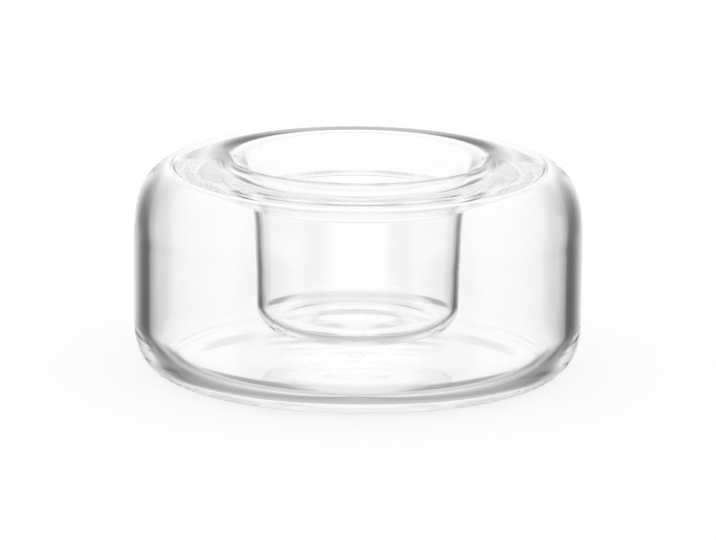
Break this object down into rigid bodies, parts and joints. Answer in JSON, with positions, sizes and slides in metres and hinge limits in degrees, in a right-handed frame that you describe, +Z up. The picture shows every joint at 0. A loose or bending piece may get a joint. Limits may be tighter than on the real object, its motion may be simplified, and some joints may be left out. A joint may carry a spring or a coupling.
{
  "type": "glass votive holder",
  "caption": "Low round drum of clear double-walled glass with a flared candle well in its middle, for a votive candle or tealight.",
  "frame": {"origin": "centre of the foot, on the surface that the holder stands on", "axes": "+Z up along the axis that the holder is turned about; +X and +Y are any two directions square to it"},
  "size_m": [0.1, 0.1, 0.048],
  "materials": {
    "clear_glass": "fire-polished, smooth and colourless"
  },
  "bodies": {
    "root": {"outer_shell": "clear_glass", "inner_cup": "clear_glass", "vent_seal": "clear_glass"}
  },
  "joints": []
}
